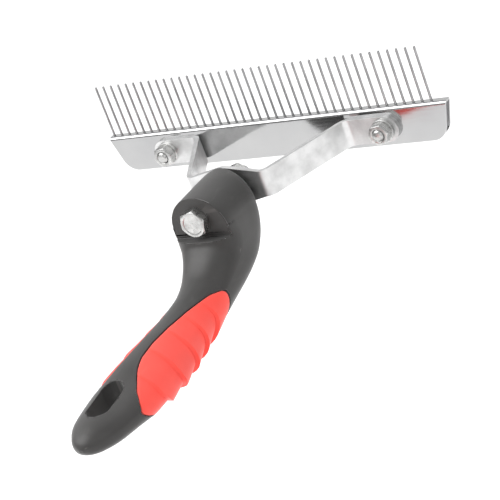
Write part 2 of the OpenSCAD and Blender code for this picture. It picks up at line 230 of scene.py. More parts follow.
@dataclass(frozen=True)
class MouldedFinish:
    """A moulded plastic or rubber surface with a fine spark texture, rubbed edges, dust, and painted
    shade that darkens its grooves and inner corners.

    Attributes:
        name: Material name.
        body: Main colour.
        shade: Colour of the darker patches.
        rubbed: Colour of exposed edges.
        painted_hollow_shade: Colour of the painted shade in grooves and inner corners.
        roughness: Lowest and highest roughness.
        texture_depth: Depth of the moulded texture in metres.
        sheen: Weight of the soft-touch sheen.
    """

    name: str
    body: Colour
    shade: Colour
    rubbed: Colour
    painted_hollow_shade: Colour
    roughness: tuple[float, float]
    texture_depth: float = 0.00002
    sheen: float = 0.2

    def material(self) -> bpy.types.Material:
        """Makes the material."""
        shader = Shader(self.name)
        shader.bsdf.inputs["Sheen Weight"].default_value = self.sheen
        shader.bsdf.inputs["Sheen Roughness"].default_value = 0.45
        shader.bsdf.inputs["Specular IOR Level"].default_value = 0.42
        spark = shader.noise(2600.0, 3.0)
        patches = shader.noise(45.0, 4.0)
        scuffs = shader.noise(260.0, 6.0, (1.0, 0.35, 1.0))
        edges = shader.add("ShaderNodeNewGeometry").outputs["Pointiness"]
        base = shader.mixed(shader.ranged(patches, 0.0, 1.0), self.body, self.shade)
        worn = shader.mixed(shader.ranged(edges, 0.0, 0.55, 0.53, 0.62), base, self.rubbed)
        # Painted shade: concave places, such as grooves, inner corners and the foot of each rib lip, are
        # darkened towards the painted shade colour as if in shadow.
        deep = shader.mixed(shader.ranged(edges, 0.75, 0.0, 0.36, 0.47), worn, self.painted_hollow_shade)
        colour = shader.mixed(shader.ranged(scuffs, 0.0, 0.2, 0.62, 0.8), deep, self.rubbed)
        shader.join(colour, shader.bsdf.inputs["Base Color"])
        low, high = self.roughness
        rough = shader.sum(
            shader.ranged(patches, low, high), shader.ranged(scuffs, 0.0, -0.08, 0.55, 0.8)
        )
        shader.join(rough, shader.bsdf.inputs["Roughness"])
        shader.bump([(spark, self.texture_depth), (patches, self.texture_depth * 6.0)])
        return shader.material


POLISHED_SHEET = MetalFinish(
    "polished_stainless_sheet", (0.45, 0.45, 0.45), (0.40, 0.40, 0.405), (0.06, 0.12),
    Grain.ALONG_X, 1400.0, 0.0000012, 35.0, 0.15)
PLAIN_BAR = MetalFinish(
    "plain_steel_bar", (0.50, 0.50, 0.51), (0.34, 0.34, 0.35), (0.32, 0.46),
    Grain.ALONG_X, 900.0, 0.000008, 50.0, 0.5)
PLATED_STRAP = MetalFinish(
    "plated_flat_strap", (0.72, 0.72, 0.72), (0.50, 0.50, 0.50), (0.30, 0.42),
    Grain.ALONG_X, 1100.0, 0.0000008, 110.0, 0.35)
PIN_STEEL = MetalFinish(
    "drawn_pin_steel", (0.36, 0.36, 0.365), (0.26, 0.26, 0.265), (0.16, 0.28),
    Grain.ALONG_Z, 3000.0, 0.000003, 150.0, 0.3)
ZINC_PLATED = MetalFinish(
    "bright_zinc_plating", (0.62, 0.62, 0.61), (0.36, 0.36, 0.355), (0.22, 0.34),
    Grain.NONE, 900.0, 0.0000015, 260.0, 0.6)
SPRING_STEEL = MetalFinish(
    "dark_spring_steel", (0.34, 0.34, 0.35), (0.22, 0.22, 0.23), (0.30, 0.44),
    Grain.NONE, 1300.0, 0.00001, 200.0, 0.5)
# The fourth colour of each moulded finish is painted shade for its grooves and inner corners.
SOFT_BLACK = MouldedFinish(
    "soft_touch_black", (0.034, 0.032, 0.031), (0.025, 0.024, 0.023), (0.085, 0.080, 0.076),
    (0.012, 0.011, 0.011), (0.42, 0.54), 0.000016, 0.25)
SOFT_RED = MouldedFinish(
    "soft_grip_red", (0.95, 0.075, 0.052), (0.86, 0.060, 0.042), (0.93, 0.13, 0.10),
    (0.42, 0.012, 0.009), (0.50, 0.64), 0.000022, 0.30)


# ---------------------------------------------------------------- making pieces


def arc(
    centre: tuple[float, float], radius: float, start: float, end: float, steps: int = 12
) -> list[tuple[float, float]]:
    """Points on an arc.

    Args:
        centre: Centre of the arc.
        radius: Its radius.
        start: First angle in degrees.
        end: Last angle in degrees.
        steps: Number of steps between them.

    Returns:
        The points, both ends included.
    """
    turns = (math.radians(start + (end - start) * i / steps) for i in range(steps + 1))
    return [(centre[0] + radius * math.cos(t), centre[1] + radius * math.sin(t)) for t in turns]


class Shape:
    """A mesh under construction, made with mesh operators."""

    def __init__(self) -> None:
        """Starts an empty mesh."""
        self.bm = bmesh.new()

    def loft(self, rings: Sequence[Sequence[Point]], closed: bool = True) -> "Shape":
        """Extrudes one ring of points through the places of the next ones.

        Args:
            rings: Rings with the same number of points each.
            closed: Whether each ring is a loop whose first and last ones are filled.

        Returns:
            The shape itself.
        """
        verts = [self.bm.verts.new(p) for p in rings[0]]
        ends = zip(verts, verts[1:] + verts[:1]) if closed else zip(verts, verts[1:])
        edges = [self.bm.edges.new(pair) for pair in ends]
        caps = [list(edges)]
        for ring in rings[1:]:
            made = bmesh.ops.extrude_edge_only(self.bm, edges=edges)["geom"]
            fresh = {v for v in made if isinstance(v, bmesh.types.BMVert)}
            edges = [e for e in made if isinstance(e, bmesh.types.BMEdge)
                     and e.verts[0] in fresh and e.verts[1] in fresh]
            verts = [next(e.other_vert(v) for e in v.link_edges if e.other_vert(v) in fresh)
                     for v in verts]
            for vert, place in zip(verts, ring):
                vert.co = place
        caps.append(edges)
        if closed:
            for loop in caps:
                bmesh.ops.holes_fill(self.bm, edges=loop, sides=len(loop))
        return self.clean()

    def turned(self, profile: Sequence[tuple[float, float]], steps: int, ring: bool = False) -> "Shape":
        """Spins a profile of radius and height about the Z axis.

        Args:
            profile: Radius and height of each point.
            steps: Number of steps in the full turn.
            ring: Whether the profile is closed, as in a washer.

        Returns:
            The shape itself.
        """
        verts = [self.bm.verts.new((r, 0.0, z)) for r, z in profile]
        pairs = list(zip(verts, verts[1:])) + ([(verts[-1], verts[0])] if ring else [])
        edges = [self.bm.edges.new(pair) for pair in pairs]
        bmesh.ops.spin(
            self.bm, geom=verts + edges, cent=(0, 0, 0), axis=(0, 0, 1),
            angle=math.tau, steps=steps, use_merge=True, use_duplicate=False)
        return self.clean()

    def clean(self, distance: float = 0.0001) -> "Shape":
        """Merges doubles and turns the faces outwards."""
        bmesh.ops.remove_doubles(self.bm, verts=self.bm.verts[:], dist=distance)
        bmesh.ops.dissolve_degenerate(self.bm, edges=self.bm.edges[:], dist=distance)
        bmesh.ops.recalc_face_normals(self.bm, faces=self.bm.faces[:])
        return self

    def hexed(self, across: float, bottom: float, top: float, lower: bool) -> "Shape":
        """Pulls the widest rows of a turned shape on to a hexagon with chamfered corners.

        Args:
            across: Distance across the flats.
            bottom: Height of the hexagon's lower face.
            top: Height of its upper face.
            lower: Whether the lower face is chamfered too.

        Returns:
            The shape itself.
        """
        face = across / 2 - FACE_INSET
        for vert in self.bm.verts:
            radius = math.hypot(vert.co.x, vert.co.y)
            if radius < across / 2 + 0.05:
                continue
            turn = math.degrees(math.atan2(vert.co.y, vert.co.x)) % 60.0
            flat = across / 2 / math.cos(math.radians(turn - 30.0))
            drop = (flat - face) * 0.55
            vert.co.x *= flat / radius
            vert.co.y *= flat / radius
            if vert.co.z > (bottom + top) / 2:
                vert.co.z = top - drop
            elif lower:
                vert.co.z = bottom + drop
        return self

    def moved(self, matrix: Matrix) -> "Shape":
        """Applies a transform to the whole shape."""
        bmesh.ops.transform(self.bm, matrix=matrix, verts=self.bm.verts[:])
        return self

    def towards_user(self, x: float, y: float, z: float, turn: float = 0.0) -> "Shape":
        """Turns +Z to point along -Y and puts the origin at a place."""
        return self.moved(
            Matrix.Translation((x, y, z))
            @ Matrix.Rotation(math.pi / 2, 4, "X")
            @ Matrix.Rotation(math.radians(turn), 4, "Z"))

    def mesh_object(self, name: str) -> bpy.types.Object:
        """Turns the shape into an object, still in millimetres."""
        mesh = bpy.data.meshes.new(name)
        self.bm.to_mesh(mesh)
        self.bm.free()
        piece = bpy.data.objects.new(name, mesh)
        bpy.context.scene.collection.objects.link(piece)
        return piece


def apply_modifiers(piece: bpy.types.Object) -> None:
    """Replaces a piece's mesh by its evaluated one and drops the modifiers."""
    bpy.context.view_layer.update()
    graph = bpy.context.evaluated_depsgraph_get()
    mesh = bpy.data.meshes.new_from_object(piece.evaluated_get(graph))
    piece.modifiers.clear()
    old, piece.data = piece.data, mesh
    mesh.name = piece.name
    bpy.data.meshes.remove(old)


def cut(piece: bpy.types.Object, cutters: Sequence[bpy.types.Object]) -> bpy.types.Object:
    """Cuts pieces away and removes the cutters.

    Args:
        piece: The piece that is cut.
        cutters: Closed shapes that are taken away.

    Returns:
        The piece.
    """
    for cutter in cutters:
        modifier = piece.modifiers.new("cut", "BOOLEAN")
        modifier.operation = "DIFFERENCE"
        modifier.solver = "EXACT"
        modifier.object = cutter
    apply_modifiers(piece)
    for cutter in cutters:
        bpy.data.objects.remove(cutter)
    return piece


def rod(
    radius: float, low: float, high: float, x: float, y: float, z: float, steps: int = 40
) -> bpy.types.Object:
    """A cutter: a cylinder along -Y from low to high, measured from a place."""
    shape = Shape().turned([(0, low), (radius, low), (radius, high), (0, high)], steps)
    return shape.towards_user(x, y, z).mesh_object("cutter")


def block(low: Point, high: Point) -> bpy.types.Object:
    """A cutter: a box between two corners."""
    shape = Shape()
    bmesh.ops.create_cube(shape.bm, size=1.0)
    size = [b - a for a, b in zip(low, high)]
    middle = [(a + b) / 2 for a, b in zip(low, high)]
    shape.moved(Matrix.Translation(middle) @ Matrix.Diagonal((*size, 1.0)))
    return shape.mesh_object("cutter")


class Workshop:
    """Finishes pieces: metres, rounded edges, material, body and the nodes they stand for."""

    def __init__(self) -> None:
        """Starts with no materials made and no pieces finished."""
        self.materials: dict[str, bpy.types.Material] = {}
        self.count = 0

    def finish(
        self,
        piece: bpy.types.Object,
        node: str,
        body: str,
        finish: MetalFinish | MouldedFinish,
        slot: str,
        edge: float = 0.0,
        segments: int = 2,
        angle: float = 35.0,
        clamp: bool = True,
    ) -> bpy.types.Object:
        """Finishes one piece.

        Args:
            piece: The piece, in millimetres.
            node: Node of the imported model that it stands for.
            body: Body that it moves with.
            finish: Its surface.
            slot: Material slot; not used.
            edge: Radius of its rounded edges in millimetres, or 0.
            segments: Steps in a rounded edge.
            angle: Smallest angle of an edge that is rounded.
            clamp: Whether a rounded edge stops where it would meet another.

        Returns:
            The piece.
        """
        piece.data.transform(Matrix.Diagonal((MM, MM, MM, 1.0)))
        if finish.name not in self.materials:
            self.materials[finish.name] = finish.material()
        piece.data.materials.clear()
        piece.data.materials.append(self.materials[finish.name])
        piece.data.polygons.foreach_set("use_smooth", [True] * len(piece.data.polygons))
        piece.data.polygons.foreach_set("material_index", [0] * len(piece.data.polygons))
        if edge:
            bevel = piece.modifiers.new("rounded_edges", "BEVEL")
            bevel.width = edge * MM
            bevel.segments = segments
            bevel.limit_method = "ANGLE"
            bevel.angle_limit = math.radians(angle)
            bevel.use_clamp_overlap = clamp
        normals = piece.modifiers.new("flat_faces", "WEIGHTED_NORMAL")
        normals.weight = 60
        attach(piece, body)
        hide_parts(node)
        self.count += 1
        LOG.info("%s stands for %s on %s: %d faces", piece.name, node, body, len(piece.data.polygons))
        return piece


# ---------------------------------------------------------------- the head


@dataclass
class CombHead:
    """The folded head with its backing bar and its row of pins."""

    length: float = 206.0
    height: float = 20.4
    depth: float = 6.0
    sheet: float = 1.2
    fold: float = 1.8
    lean: float = 16.0
    corner: float = 9.0
    pins: int = 40
    pitch: float = 5.0
    offset: float = -3.3
    pin_width: float = 1.3
    pin_gap: float = 0.01
    pin_reach: float = 29.4
    head_width: float = 2.2
    head_height: float = 0.8
    bar_lift: float = 4.5
    screw_x: float = 66.0
    hole: float = 3.2
    axis_z: float = 9.8

    @property
    def front(self) -> float:
        """Front face of the head."""
        return -self.sheet / 2

    @property
    def row_y(self) -> float:
        """Place of the row of pins."""
        return self.front + self.depth / 2

    def half_length(self, z: float, inset: float = 0.0) -> float:
        """Half length of a wall at a height, with its leaning end and round lower corner."""
        radius = self.corner - inset
        top = self.length / 2 - inset * 1.1
        low = top - self.height * math.tan(math.radians(self.lean))
        centre = low - radius * math.tan(math.radians((90 - self.lean) / 2))
        if z < radius * (1 - math.sin(math.radians(self.lean))):
            return centre + math.sqrt(max(0.0, radius**2 - (z - radius) ** 2))
        return top - (self.height - z) * math.tan(math.radians(self.lean))

    def holes(self) -> list[bpy.types.Object]:
        """Cutters for the two screw holes."""
        return [rod(self.hole, -9, 9, side * self.screw_x, self.row_y, self.axis_z) for side in (-1, 1)]

    def channel(self) -> bpy.types.Object:
        """The folded sheet with its pin holes and screw holes."""
        rise = [self.corner * (1 - math.cos(math.radians(a))) for a in range(0, 75, 6)]
        rise += [8.5, 12.0, 15.5]
        fold, top = self.fold, self.height - self.fold
        rear = self.front + self.depth
        path = [(self.front, z) for z in rise]
        path += arc((self.front + fold, top), fold, 180, 90, 8)
        path += arc((rear - fold, top), fold, 90, 0, 8)
        path += [(rear, z) for z in reversed(rise)]
        rings = [[(side * self.half_length(z), y, z) for y, z in path] for side in (-1, 1)]
        shape = Shape().loft(rings, closed=False)
        up = max(shape.bm.faces, key=lambda f: f.calc_center_median().z)
        if up.normal.z < 0:
            bmesh.ops.reverse_faces(shape.bm, faces=shape.bm.faces[:])
        shape.bm.normal_update()
        piece = shape.mesh_object("channel_shell")
        wall = piece.modifiers.new("wall", "SOLIDIFY")
        wall.thickness = self.sheet
        wall.offset = -1.0
        wall.use_even_offset = True
        apply_modifiers(piece)
        drills = []
        bore = self.pin_width / 2 + self.pin_gap
        for number in range(1, self.pins + 1):
            bit = Shape().turned([(0, -2), (bore, -2), (bore, 2), (0, 2)], 16)
            bit.moved(Matrix.Translation((self.pin_x(number), self.row_y, self.height - self.sheet / 2)))
            drills.append(bit.mesh_object("cutter"))
        return cut(piece, self.holes() + drills)

    def bar(self) -> bpy.types.Object:
        """The bar inside the fold that holds the pins' heads."""
        top = self.height - self.sheet - self.head_height
        levels = [self.bar_lift, 5.2, 6.0, 7.0, 9.0, 13.0, top]
        ends = [(-self.half_length(z, 1.0), z) for z in levels]
        outline = ends + [(-x, z) for x, z in reversed(ends)]
        rings = [[(x, y, z) for x, z in outline]
                 for y in (self.front + self.sheet, self.front + self.depth - self.sheet)]
        return cut(Shape().loft(rings).mesh_object("bar_inside_fold"), self.holes())

    def pin_x(self, number: int) -> float:
        """Place of a pin along the row."""
        return self.offset + (number - (self.pins + 1) / 2) * self.pitch

    def pin(self, number: int) -> bpy.types.Object:
        """One headed pin with a round tip."""
        base = self.height - self.sheet - self.head_height
        top = self.height + self.pin_reach
        radius, head = self.pin_width / 2, self.head_width / 2
        profile = [(0, base), (head - 0.15, base), (head, base + 0.15), (head, base + 0.65),
                   (head - 0.12, base + self.head_height), (radius + 0.04, base + self.head_height)]
        levels = (base + 1.0, self.height, self.height + 0.1, top - 9, top - radius)
        profile += [(radius, z) for z in levels]
        profile += arc((0, top - radius), radius, 0, 90, 6)[1:]
        shape = Shape().turned(profile, 20)
        shape.moved(Matrix.Translation((self.pin_x(number), self.row_y, 0)))
        return shape.mesh_object(f"steel_pin_{number:02d}")

    def build(self, shop: Workshop) -> None:
        """Builds and dresses the head's pieces."""
        shop.finish(self.channel(), "comb_channel", HEAD_BODY, POLISHED_SHEET, "polished_sheet", 0.16, 3)
        shop.finish(self.bar(), "backing_bar", HEAD_BODY, PLAIN_BAR, "plain_bar", 0.25)
        for number in range(1, self.pins + 1):
            shop.finish(self.pin(number), f"pin_{number:02d}", HEAD_BODY, PIN_STEEL, "pin_steel")


# ---------------------------------------------------------------- the strap and its screws


@dataclass
class Strap:
    """The bent flat strap between the head and the pivot."""

    thickness: float = 2.5
    width: float = 14.0
    eye_width: float = 21.6
    eye_reach: float = 20.0
    reach: float = 50.5
    inner_bend: float = 22.5
    outer_bend: float = 45.0
    bend_radius: float = 5.0
    tip_x: float = 74.5
    screw_x: float = 66.0
    front: float = -0.6
    axis_z: float = 9.8
    bolt_hole: float = 4.1
    screw_hole: float = 3.2

    def half_width(self, x: float) -> float:
        """Half width of the strap at a distance from the middle."""
        x = abs(x)
        half, eye = self.width / 2, self.eye_width / 2
        touch = math.atan2(half, self.eye_reach) + math.acos(eye / math.hypot(self.eye_reach, half))
        touch_x, touch_z = eye * math.cos(touch), eye * math.sin(touch)
        if x < touch_x:
            return math.sqrt(eye**2 - x**2)
        if x < self.eye_reach:
            return touch_z + (half - touch_z) * (x - touch_x) / (self.eye_reach - touch_x)
        past = x - (self.tip_x - half)
        return math.sqrt(max(0.0, half**2 - past**2)) if past > 0 else half

    def centreline(self) -> list[tuple[float, float]]:
        """The strap's middle in X and Y, from the pivot to one tip."""
        eye_y = self.front - self.reach + self.thickness / 2
        tab_y = self.front - self.thickness / 2
        arm = math.degrees(math.atan2(tab_y - eye_y, self.outer_bend - self.inner_bend))
        run = self.bend_radius * math.tan(math.radians(arm / 2))
        r = self.bend_radius
        flat = [(x, eye_y) for x in (0, 0.7, 1.4, 2.1, 8, 14, 19.2)]
        inner = arc((self.inner_bend - run, eye_y + r), r, -90, arm - 90, 14)
        outer = arc((self.outer_bend + run, tab_y - r), r, arm + 90, 90, 14)
        start = self.tip_x - self.width / 2
        tip = [(start + self.width / 2 * math.sin(math.radians(a)), tab_y) for a in range(0, 91, 6)]
        return flat + inner + outer + [(57.0, tab_y), (62.0, tab_y)] + tip

    def build(self, shop: Workshop) -> None:
        """Builds and dresses the strap."""
        side = self.centreline()
        path = [(-x, y) for x, y in reversed(side[1:])] + side
        shares = (-1.0, -0.5, 0.0, 0.5, 1.0)
        rings = [[(x, y, self.axis_z + share * self.half_width(x)) for share in shares] for x, y in path]
        shape = Shape().loft(rings, closed=False)
        shape.bm.normal_update()
        middle = min(shape.bm.faces, key=lambda f: abs(f.calc_center_median().x))
        if middle.normal.y > 0:
            bmesh.ops.reverse_faces(shape.bm, faces=shape.bm.faces[:])
        piece = shape.mesh_object("bent_strap")
        wall = piece.modifiers.new("wall", "SOLIDIFY")
        wall.thickness = self.thickness
        wall.offset = 0.0
        wall.use_even_offset = True
        apply_modifiers(piece)
        holes = [rod(self.screw_hole, -6, 6, s * self.screw_x, self.front, self.axis_z) for s in (-1, 1)]
        holes.append(rod(self.bolt_hole, -6, 6, 0, self.front - self.reach, self.axis_z))
        cut(piece, holes)
        shop.finish(piece, "bracket_strap", HEAD_BODY, PLATED_STRAP, "plated_strap", 0.45, 3)


def thread(radius: float, start: float, end: float, pitch: float) -> list[tuple[float, float]]:
    """Profile of a thread, as radius and height, from start to end."""
    turns = int(abs(end - start) / pitch)
    step = (end - start) / turns
    root, crest = radius - 0.55 * pitch, radius - 0.04
    points = []
    for turn in range(turns):
        z = start + turn * step
        points += [(root, z), (crest, z + step * 0.42), (crest, z + step * 0.55)]
    return points + [(root, end)]


def ring_shape(outer: float, inner: float, height: float, steps: int = 64) -> Shape:
    """A flat washer standing on the origin, with slightly rounded edges from stamping."""
    soft = min(0.18, height / 5)
    profile = [(inner, 0), (outer - soft, 0), (outer, soft), (outer, height - soft * 1.6),
               (outer - soft * 1.6, height), (inner + soft, height), (inner, height - soft)]
    return Shape().turned(profile, steps, ring=True)


@dataclass
class ClampingScrew:
    """A round-head screw with its washer and nut."""

    side: int
    name: str
    diameter: float = 6.0
    length: float = 16.0
    head_width: float = 12.0
    head_height: float = 3.6
    nut_across: float = 10.0
    nut_height: float = 5.0
    washer: float = 1.6
    washer_width: float = 12.0
    recess_reach: float = 2.64
    recess_width: float = 1.68
    recess_depth: float = 2.0
    x: float = 66.0
    rear: float = 5.4
    tab: float = -3.1
    axis_z: float = 9.8
    nut_turn: float = 8.0

    def screw(self) -> bpy.types.Object:
        """The screw with a domed cross-recess head and a threaded end."""
        radius, head = self.diameter / 2, self.head_width / 2
        profile = [(0, -self.head_height)]
        for share in (0.25, 0.5, 0.62):
            profile.append((head * share, -self.head_height + 0.12 * (share / 0.62) ** 2))
        profile += [(head * 0.80, -self.head_height * 0.83), (head * 0.93, -self.head_height * 0.62),
                    (head * 0.995, -self.head_height * 0.36), (head, -0.25), (head - 0.2, 0.0),
                    (radius, 0.0)]
        profile += thread(radius, 6.0, self.length - 0.5, 1.0)
        profile += [(radius - 0.75, self.length - 0.1), (radius - 1.0, self.length), (0, self.length)]
        shape = Shape().turned(profile, 40)
        shape.towards_user(self.side * self.x, self.rear, self.axis_z)
        piece = shape.mesh_object(f"{self.name}_clamping_screw")
        deep = self.rear + self.head_height
        x, z = self.side * self.x, self.axis_z
        far, near, down = self.recess_reach, self.recess_width / 2, self.recess_depth
        slots = [block((x - a, deep - down, z - b), (x + a, deep + down, z + b))
                 for a, b in ((far, near), (near, far))]
        return cut(piece, slots)

    def nut(self) -> bpy.types.Object:
        """The hexagon nut with chamfered faces."""
        return hex_nut(self.nut_across, self.nut_height, self.diameter).towards_user(
            self.side * self.x, self.tab - self.washer, self.axis_z, self.nut_turn
        ).mesh_object(f"{self.name}_hexagon_nut")

    def build(self, shop: Workshop) -> None:
        """Builds and dresses the screw, its washer and its nut."""
        shop.finish(self.screw(), f"{self.name}_screw", HEAD_BODY, ZINC_PLATED, "zinc_plated", 0.1)
        washer = ring_shape(self.washer_width / 2, self.diameter / 2 + 0.2, self.washer)
        washer.towards_user(self.side * self.x, self.tab, self.axis_z)
        shop.finish(washer.mesh_object(f"{self.name}_flat_washer"), f"{self.name}_screw_washer",
                    HEAD_BODY, ZINC_PLATED, "zinc_plated")
        shop.finish(self.nut(), f"{self.name}_screw_nut", HEAD_BODY, ZINC_PLATED, "zinc_plated", 0.14)


def hex_nut(across: float, height: float, bore: float) -> Shape:
    """A hexagon nut standing on the origin, chamfered on both faces and at its bore."""
    inner, face, corner = bore / 2 + 0.05, across / 2 - FACE_INSET, across / math.sqrt(3)
    profile = [(inner, 0.5), (inner + 0.5, 0), (face, 0), (corner, 0.4),
               (corner, height - 0.4), (face, height), (inner + 0.5, height), (inner, height - 0.5)]
    return Shape().turned(profile, 72, ring=True).hexed(across, 0.0, height, lower=True)


@dataclass
class PivotBolt:
    """The bolt that the head turns on, with its sleeve, washers and nut."""

    diameter: float = 8.0
    length: float = 50.0
    across: float = 13.0
    head_height: float = 5.3
    nut_height: float = 6.5
    washer_width: float = 16.0
    washer: float = 1.6
    spring: float = 2.0
    split_at: float = 75.0
    split_width: float = 9.0
    split_slant: float = 4.0
    sleeve: float = 12.0
    turn: float = 17.0
    axis_z: float = 9.8
    barrel_back: float = -83.5
    handle_front: float = -52.7
    strap_face: float = -51.1
    eye_back: float = -48.6

    def bolt(self) -> bpy.types.Object:
        """The bolt, its head turned and dished, its end threaded."""
        radius, top = self.diameter / 2, self.head_height
        face, corner = self.across / 2 - FACE_INSET, self.across / math.sqrt(3)
        profile = [(0, top - 0.3), (3.0, top - 0.3), (4.8, top - 0.27), (5.2, top - 0.04), (5.45, top),
                   (face, top), (corner, top - 0.4), (corner, 0), (radius, 0), (radius, -26)]
        profile += thread(radius, -26.5, 0.8 - self.length, 1.25)
        profile += [(radius - 0.9, 0.3 - self.length), (radius - 1.2, -self.length), (0, -self.length)]
        shape = Shape().turned(profile, 72).hexed(self.across, 0.0, top, lower=False)
        return shape.towards_user(0, self.barrel_back, self.axis_z, self.turn).mesh_object("hexagon_bolt")

    def spring_ring(self) -> bpy.types.Object:
        """The split spring washer."""
        inner, outer = self.diameter / 2 + 0.1, (self.across + 0.5) / 2
        section = [(inner, 0, 0), (outer, 0, 0), (outer, 0, self.spring), (inner, 0, self.spring)]
        rings, last = [], 48
        for step in range(last + 1):
            turn = self.split_at + (360.0 - self.split_width) * step / last
            lean = self.split_slant * (1 if step == 0 else -1 if step == last else 0)
            ring = []
            for p in section:
                skew = math.radians(turn) + math.radians(lean * (p[2] / self.spring - 0.5))
                ring.append(tuple(Matrix.Rotation(skew, 4, "Z") @ Vector(p)))
            rings.append(ring)
        shape = Shape().loft(rings)
        return shape.towards_user(0, self.eye_back + self.washer + self.spring, self.axis_z).mesh_object(
            "split_spring_washer")

    def flat(self, name: str, y: float) -> bpy.types.Object:
        """A flat washer whose far face is at y."""
        shape = ring_shape(self.washer_width / 2, self.diameter / 2 + 0.1, self.washer, 72)
        return shape.towards_user(0, y, self.axis_z).mesh_object(name)

    def build(self, shop: Workshop) -> None:
        """Builds and dresses the bolt and all that it carries."""
        nut_y = self.eye_back + self.washer + self.spring + self.nut_height
        barrel = self.barrel_back - self.handle_front
        tube = ring_shape(self.sleeve / 2, self.diameter / 2 + 0.1, -barrel).towards_user(
            0, self.handle_front, self.axis_z).mesh_object("steel_sleeve")
        nut = hex_nut(self.across, self.nut_height, self.diameter).towards_user(
            0, nut_y, self.axis_z, self.turn).mesh_object("pivot_hexagon_nut")
        zinc = (HANDLE_BODY, ZINC_PLATED, "zinc_plated")
        shop.finish(self.bolt(), "pivot_bolt", *zinc, 0.16, 3, 25.0)
        shop.finish(tube, "pivot_sleeve", *zinc)
        shop.finish(self.flat("sliding_washer", self.strap_face), "thrust_washer", *zinc)
        shop.finish(self.flat("washer_under_nut", self.eye_back + self.washer), "bolt_nut_washer", *zinc)
        shop.finish(self.spring_ring(), "spring_washer", HANDLE_BODY, SPRING_STEEL, "spring_steel", 0.2)
        shop.finish(nut, "pivot_nut", *zinc, 0.16)


# ---------------------------------------------------------------- the handle

# Sections of the neck and grip, each as: how far back and down its middle lies, as shares of the
# handle's length and drop; its width and thickness, as shares of the grip's; squareness; egg share.
GRIP_SHARES = (
    (0.109, 0.281, 1.018, 1.456, 5.0, 0.00), (0.122, 0.399, 1.040, 1.408, 4.0, 0.03),
    (0.143, 0.517, 1.030, 1.328, 3.4, 0.06), (0.173, 0.630, 0.970, 1.168, 3.0, 0.10),
    (0.219, 0.748, 0.882, 1.040, 2.6, 0.15), (0.278, 0.858, 0.788, 0.928, 2.4, 0.20),
    (0.355, 0.932, 0.753, 0.904, 2.3, 0.32), (0.464, 0.979, 0.806, 0.960, 2.3, 0.38),
    (0.583, 1.000, 0.930, 1.024, 2.3, 0.40), (0.685, 1.000, 0.994, 0.976, 2.3, 0.38),
    (0.763, 1.010, 1.000, 0.832, 2.3, 0.30), (0.833, 1.013, 0.940, 0.704, 2.3, 0.20),
    (0.915, 1.016, 0.776, 0.608, 2.3, 0.15), (0.962, 1.030, 0.540, 0.472, 2.3, 0.10),
    (0.989, 1.040, 0.306, 0.288, 2.3, 0.05), (1.000, 1.045, 0.060, 0.070, 2.3, 0.00))
# The cover's outline: a place along the sweep, and the half angle that the cover spans there.
COVER_ROWS = (
    (10.0, 94.0), (10.1, 103.0), (10.6, 121.0), (11.6, 142.0), (12.4, 154.0), (13.1, 159.0),
    (13.8, 157.0), (14.4, 147.0), (15.3, 125.0), (15.7, 105.0), (15.9, 88.0))
# Places along the sweep where the ribs end, with the cover's front and rear edges.
RIB_LIPS = (10.0, 11.05, 11.8, 12.5, 13.4, 14.55, 15.9)


